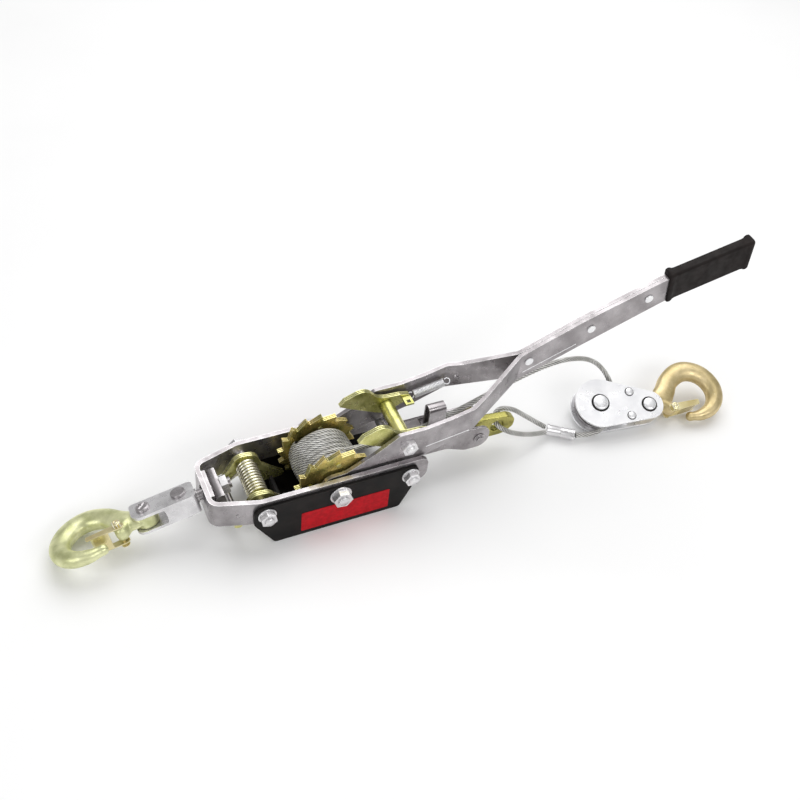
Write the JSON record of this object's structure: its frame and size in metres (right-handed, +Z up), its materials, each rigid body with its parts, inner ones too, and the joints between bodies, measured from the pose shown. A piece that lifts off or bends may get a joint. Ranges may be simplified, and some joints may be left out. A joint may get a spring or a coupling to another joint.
{
  "type": "come along winch",
  "caption": "Hand ratchet winch: a lever and pawls turn a wire-rope drum in a strap frame, with a swivel hook in front and a pulley block with a second hook behind.",
  "frame": {"origin": "on the ground directly under the middle of the drum axle", "axes": "+X towards the lever's grip and the pulley block, +Y across the frame, away from the side that carries the nuts, +Z up"},
  "size_m": [0.8025, 0.1192, 0.2391],
  "materials": {
    "zinc_steel": "bright zinc plate, slightly brushed",
    "yellow_zinc": "yellow chromate over zinc plate",
    "black_paint": "semi-gloss black",
    "plain_red": "plain gloss film with no print",
    "grip_rubber": "matt moulded grip",
    "wire_rope": "galvanised strands",
    "spring_steel": "plated spring wire",
    "bright_zinc": "bright plated plate",
    "tan_gold_zinc": "tan-gold chromate on a forging",
    "pale_gold_zinc": "pale yellow-green chromate on a forging"
  },
  "bodies": {
    "frame": {"frame_strap": "zinc_steel", "front_backing_plate": "zinc_steel", "drum_guard": "black_paint", "guard_cross_bar": "black_paint", "side_labels": "plain_red", "drum_axle_bolt": "zinc_steel", "drum_axle_nut": "zinc_steel", "frame_bolts": "zinc_steel", "frame_bolt_nuts": "zinc_steel", "frame_washers": "zinc_steel", "rear_spacers": "zinc_steel"},
    "rocker": {"swivel_rocker": "zinc_steel"},
    "swivel": {"swivel_stud": "zinc_steel", "swivel_nut": "zinc_steel"},
    "yoke": {"hook_yoke": "zinc_steel", "yoke_pin_bolt": "zinc_steel", "yoke_pin_nut": "zinc_steel", "hook_rivet": "zinc_steel"},
    "front_hook": {"front_hook": "pale_gold_zinc", "front_latch_pin": "bright_zinc"},
    "front_latch": {"front_latch": "bright_zinc", "front_latch_spring": "spring_steel"},
    "drum": {"ratchet_wheel_near": "yellow_zinc", "ratchet_wheel_far": "yellow_zinc", "wheel_rivets": "zinc_steel", "drum_core": "yellow_zinc", "rope_winding": "wire_rope"},
    "holding_pawl": {"holding_pawl_near": "yellow_zinc", "holding_pawl_far": "yellow_zinc", "holding_pawl_tube": "yellow_zinc", "holding_pawl_spring": "spring_steel", "holding_pawl_release_bar": "yellow_zinc"},
    "lever": {"lever_arm_near": "zinc_steel", "lever_arm_far": "zinc_steel", "lever_rivets": "zinc_steel", "hand_grip": "grip_rubber", "drive_pawl_bolt": "zinc_steel", "drive_pawl_nut": "zinc_steel"},
    "drive_pawl": {"drive_pawl_near": "yellow_zinc", "drive_pawl_far": "yellow_zinc", "drive_pawl_tube": "yellow_zinc", "drive_pawl_tab": "yellow_zinc", "drive_pawl_spring": "spring_steel"},
    "bracket": {"anchor_bracket_plates": "zinc_steel", "rope_guide": "zinc_steel", "anchor_pin": "zinc_steel"},
    "anchor_hook": {"anchor_hook": "yellow_zinc"},
    "block": {"block_plate_upper": "bright_zinc", "block_plate_lower": "bright_zinc", "block_rivets": "bright_zinc", "sheave_axle": "bright_zinc", "block_hook_pin": "zinc_steel", "free_rope": "wire_rope", "rope_eye": "wire_rope", "rope_ferrule": "bright_zinc"},
    "sheave": {"sheave": "zinc_steel"},
    "rear_hook": {"rear_hook": "tan_gold_zinc", "rear_latch_pin": "bright_zinc"},
    "rear_latch": {"rear_latch": "bright_zinc", "rear_latch_spring": "spring_steel"}
  },
  "joints": [
    {"name": "front_pitch", "type": "hinge", "parent": "frame", "child": "rocker", "pos_m": [-0.118, 0, 0.0565], "axis": [0, 1, 0], "range_deg": [0, 11]},
    {"name": "front_swivel", "type": "hinge", "parent": "rocker", "child": "swivel", "pos_m": [-0.118, 0, 0.0565], "axis": [-0.9763, 0, -0.2164], "continuous": true},
    {"name": "yoke_pivot", "type": "hinge", "parent": "swivel", "child": "yoke", "pos_m": [-0.15705, 0, 0.04784], "axis": [-0.2058, 0.309, 0.9285], "range_deg": [-12, 8]},
    {"name": "front_hook_pivot", "type": "hinge", "parent": "yoke", "child": "front_hook", "pos_m": [-0.19415, 0, 0.03962], "axis": [-0.2058, 0.309, 0.9285], "range_deg": [-20, 20]},
    {"name": "front_latch_pivot", "type": "hinge", "parent": "front_hook", "child": "front_latch", "pos_m": [-0.22334, -0.01061, 0.03668], "axis": [0.2058, -0.309, -0.9285], "range_deg": [0, 32], "stiffness_Nm_per_rad": 0.02},
    {"name": "drum_spin", "type": "hinge", "parent": "frame", "child": "drum", "pos_m": [0, 0, 0.05], "axis": [0, 1, 0], "continuous": true},
    {"name": "holding_pawl_pivot", "type": "hinge", "parent": "frame", "child": "holding_pawl", "pos_m": [-0.081, 0, 0.05], "axis": [0, -1, 0], "range_deg": [0, 8]},
    {"name": "lever_swing", "type": "hinge", "parent": "frame", "child": "lever", "pos_m": [0, 0, 0.05], "axis": [0, -1, 0], "range_deg": [0, 90]},
    {"name": "drive_pawl_pivot", "type": "hinge", "parent": "lever", "child": "drive_pawl", "pos_m": [0.0786, 0, 0.0872], "axis": [0, -1, 0], "range_deg": [0, 19], "deforming": ["drive_pawl_spring"]},
    {"name": "bracket_pivot", "type": "hinge", "parent": "frame", "child": "bracket", "pos_m": [0.08, 0, 0.05], "axis": [0, -1, 0], "range_deg": [0, 6], "deforming": ["free_rope"]},
    {"name": "anchor_hook_pivot", "type": "hinge", "parent": "bracket", "child": "anchor_hook", "pos_m": [0.178, 0, 0.042], "axis": [0, -1, 0], "range_deg": [-4, 4], "deforming": ["rope_eye"]},
    {"name": "block_swing", "type": "hinge", "parent": "bracket", "child": "block", "pos_m": [0.178, 0, 0.0225], "axis": [0, 0, 1], "range_deg": [-8, 8], "deforming": ["free_rope", "rope_eye"]},
    {"name": "sheave_spin", "type": "hinge", "parent": "block", "child": "sheave", "pos_m": [0.345, -0.0055, 0.0225], "axis": [-0.0643, -0.3559, 0.9323], "continuous": true},
    {"name": "rear_hook_pivot", "type": "hinge", "parent": "block", "child": "rear_hook", "pos_m": [0.40246, -0.02417, 0.01933], "axis": [-0.0643, -0.3559, 0.9323], "range_deg": [-20, 15]},
    {"name": "rear_latch_pivot", "type": "hinge", "parent": "rear_hook", "child": "rear_latch", "pos_m": [0.43115, -0.03614, 0.01674], "axis": [-0.0643, -0.3559, 0.9323], "range_deg": [0, 32], "stiffness_Nm_per_rad": 0.02}
  ]
}
